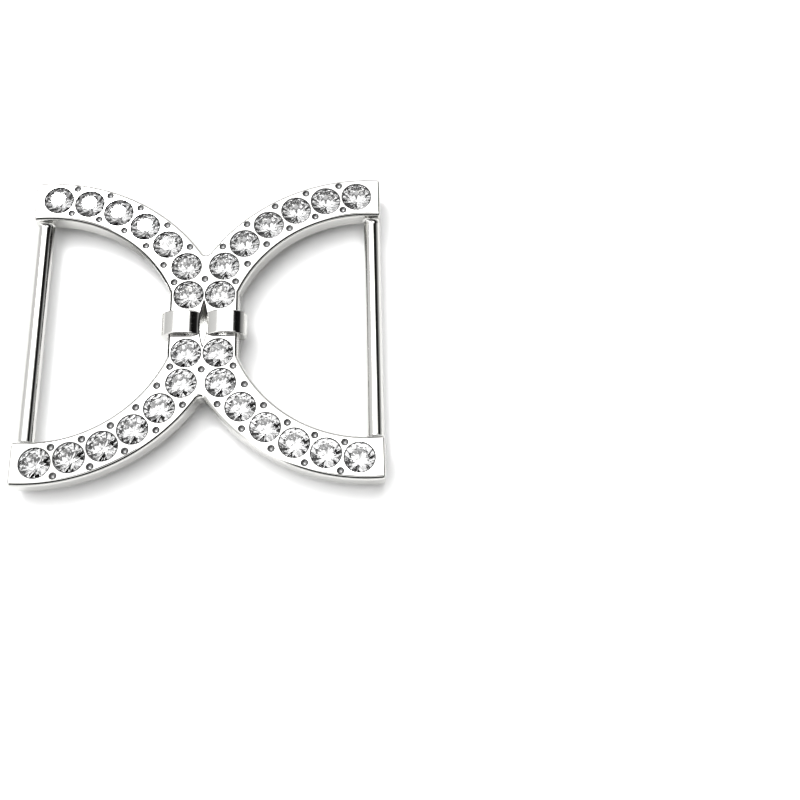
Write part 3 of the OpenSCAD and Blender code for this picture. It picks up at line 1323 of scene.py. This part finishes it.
@dataclass(frozen=True)
class Card:
    """One part of the surroundings, given by where it stands as seen from the buckle."""

    towards: float            # direction of its middle, degrees from +X towards +Y
    half_width: float         # half of its width, degrees
    low: float                # elevation of its lower edge, degrees
    high: float               # elevation of its upper edge, degrees
    bright: Pair              # brightness at its lower and upper edge
    soft: float               # half of its edges' blur, degrees

    def edge(self, nodes: Outlook, at: float, ends: Pair) -> bpy.types.Node:
        """Add a mask that changes softly at an elevation, between its values below and above."""
        blur = (height_of(at - self.soft), height_of(at + self.soft))
        return nodes.ramp(nodes.height, blur, ends, interpolation_type="SMOOTHSTEP")

    def width_mask(self, nodes: Outlook) -> bpy.types.Node:
        """Add a mask that is 1 across the width of the card.

        Args:
            nodes: The surroundings' tree.

        Returns:
            The mask.
        """
        flat = nodes.add("VectorMath", {0: nodes.direction, 1: (1, 1, 0)}, operation="MULTIPLY")
        level = nodes.add("VectorMath", {0: flat}, operation="NORMALIZE")
        turn = math.radians(self.towards)
        middle = (math.cos(turn), math.sin(turn), 0)
        along = nodes.add("VectorMath", {0: level, 1: middle}, operation="DOT_PRODUCT")
        wide = (self.half_width + self.soft, self.half_width - self.soft)
        blur = tuple(math.cos(math.radians(degrees)) for degrees in wide)
        return nodes.ramp(along.outputs["Value"], blur, interpolation_type="SMOOTHSTEP")

    def laid_over(self, nodes: Outlook, colour: bpy.types.NodeSocket) -> bpy.types.NodeSocket:
        """Lay the card over what stands behind it.

        Args:
            nodes: The surroundings' tree.
            colour: What stands behind it.

        Returns:
            The colour with the card.
        """
        below = self.edge(nodes, self.high, (1.0, 0.0))
        above = self.edge(nodes, self.low, (0.0, 1.0))
        inside = nodes.add("Math", {0: below, 1: above}, operation="MULTIPLY")
        mask = nodes.add("Math", {0: inside, 1: self.width_mask(nodes)}, operation="MULTIPLY")
        shade = nodes.ramp(nodes.height, (height_of(self.low), height_of(self.high)), self.bright)
        layers = {"Factor": mask, MIX_UNDER: colour, MIX_OVER: shade}
        return nodes.add("Mix", layers, data_type="VECTOR").outputs[MIXED]


@dataclass(frozen=True)
class Studio:
    """The floor, the surroundings that the metal reflects, and the lamp."""

    floor_size: float = 40.0
    floor_z: float = -0.00002            # a hair under the part
    lamp_power: float = 0.8
    lamp_width: float = 40.0             # degrees
    lamp_towards: Triple = (-0.9, 0.45, 1.0)
    # height of a direction, and the brightness there
    sky: tuple[Pair, ...] = ((-1.0, 0.7), (-0.5, 1.1), (0.0, 1.8), (0.3, 2.6), (0.7, 2.9))
    cards: tuple[Card, ...] = (
        Card(-40, 50, -62, -30, (0.02, 0.3), 6),
        Card(90, 60, -8, 38, (0.3, 1.0), 8),
        Card(172, 42, 4, 52, (0.9, 1.2), 7),
        Card(-50, 34, 46, 62, (1.4, 2.0), 4),
        Card(-92, 34, 64, 84, (0.1, 0.1), 3),
        Card(-60, 68, -6, 26, (0.9, 0.45), 6),
        Card(-60, 68, 20, 56, (0.03, 0.01), 4),
        Card(24, 26, 51, 68, (0.7, 1.8), 3),
        Card(24, 24, -8, 30, (1.3, 0.12), 3),
        Card(24, 24, 27, 52, (0.02, 0.003), 2),
        Card(52, 12, 44, 56, (0.02, 0.003), 3),
        Card(86, 38, 62, 80, (6.0, 6.0), 4),
        Card(122, 12, 46, 60, (24.0, 24.0), 2),
    )

    def build(self) -> None:
        """Make the floor, the surroundings and the lamp."""
        mesh = bpy.data.meshes.new("table_top")
        corners = rectangle(self.floor_size / 2, self.floor_size / 2)
        mesh.from_pydata([(x, y, self.floor_z) for x, y in corners], [], [(0, 1, 2, 3)])
        floor = new_object("table_top", mesh)
        mesh.materials.append(PaleCard().material())
        self.surroundings()
        lamp = bpy.data.lights.new("window", "SUN")
        lamp.energy = self.lamp_power
        lamp.angle = math.radians(self.lamp_width)
        holder = new_object("window", lamp)
        holder.rotation_euler = Vector(self.lamp_towards).to_track_quat("Z", "Y").to_euler()
        holder.visible_glossy = False
        bpy.context.scene.view_settings.view_transform = "Standard"

    def surroundings(self) -> None:
        """Lay out what stands around the buckle, by direction."""
        world = bpy.data.worlds.new("studio")
        bpy.context.scene.world = world
        world.use_nodes = True
        nodes = Outlook(world.node_tree)
        colour = self.open_sky(nodes)
        for card in self.cards:
            colour = card.laid_over(nodes, colour)
        light = nodes.add("Background", {"Color": colour})
        backdrop = nodes.add("Background", {"Color": (1, 1, 1, 1)})
        seen = nodes.add("LightPath").outputs["Is Camera Ray"]
        both = nodes.add("MixShader", {"Fac": seen, 1: light, 2: backdrop})
        nodes.add("OutputWorld", {"Surface": both})

    def open_sky(self, nodes: Outlook) -> bpy.types.NodeSocket:
        """Lay out the open sky, which grows brighter upwards.

        Args:
            nodes: The surroundings' tree.

        Returns:
            Its brightness.
        """
        (low, dim), (high, bright) = self.sky[:2]
        total = nodes.ramp(nodes.height, (low, high), (dim, bright))
        for (low, dim), (high, bright) in zip(self.sky[1:], self.sky[2:]):
            more = nodes.ramp(nodes.height, (low, high), (0.0, bright - dim))
            total = nodes.add("Math", {0: total, 1: more}, operation="ADD")
        return total.outputs[0]


@dataclass(frozen=True)
class PhotoCamera:
    """The camera that the photograph was taken with, in millimetres."""

    place: Triple = (17.75, -47.77, 108.57)
    ahead: Triple = (0.0257, 0.3458, -0.938)
    above: Triple = (0.0172, 0.938, 0.3463)
    focal_pixels: float = 1082.47
    image_pixels: float = 800.0
    sensor: float = 36.0
    clip: Pair = (0.001, 20.0)           # metres

    def build(self) -> None:
        """Make the camera and look through it."""
        data = bpy.data.cameras.new("photo_camera")
        data.sensor_width = self.sensor
        data.lens = self.focal_pixels / self.image_pixels * self.sensor
        data.clip_start, data.clip_end = self.clip
        camera = new_object("photo_camera", data)
        back = -Vector(self.ahead).normalized()
        right = Vector(self.ahead).cross(Vector(self.above)).normalized()
        turn = Matrix((right, back.cross(right), back)).transposed().to_4x4()
        camera.matrix_world = Matrix.Translation(Vector(self.place) * MM) @ turn
        bpy.context.scene.camera = camera


def log_piece(piece: bpy.types.Object) -> None:
    """Report a finished piece.

    Args:
        piece: The piece.
    """
    piece.data.calc_loop_triangles()
    faces, triangles = len(piece.data.polygons), len(piece.data.loop_triangles)
    LOG.info("%s: %d faces, %d triangles", piece.name, faces, triangles)


def main() -> None:
    """Build the buckle's look piece by piece."""
    logging.basicConfig(level=logging.INFO, format="%(name)s: %(message)s")
    PhotoCamera().build()
    Studio().build()
    casting = Casting().build()
    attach(casting, BODY)
    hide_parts("frame")
    log_piece(casting)
    for stone in Stones().dress():
        log_piece(stone)


if __name__ == "__main__":
    main()
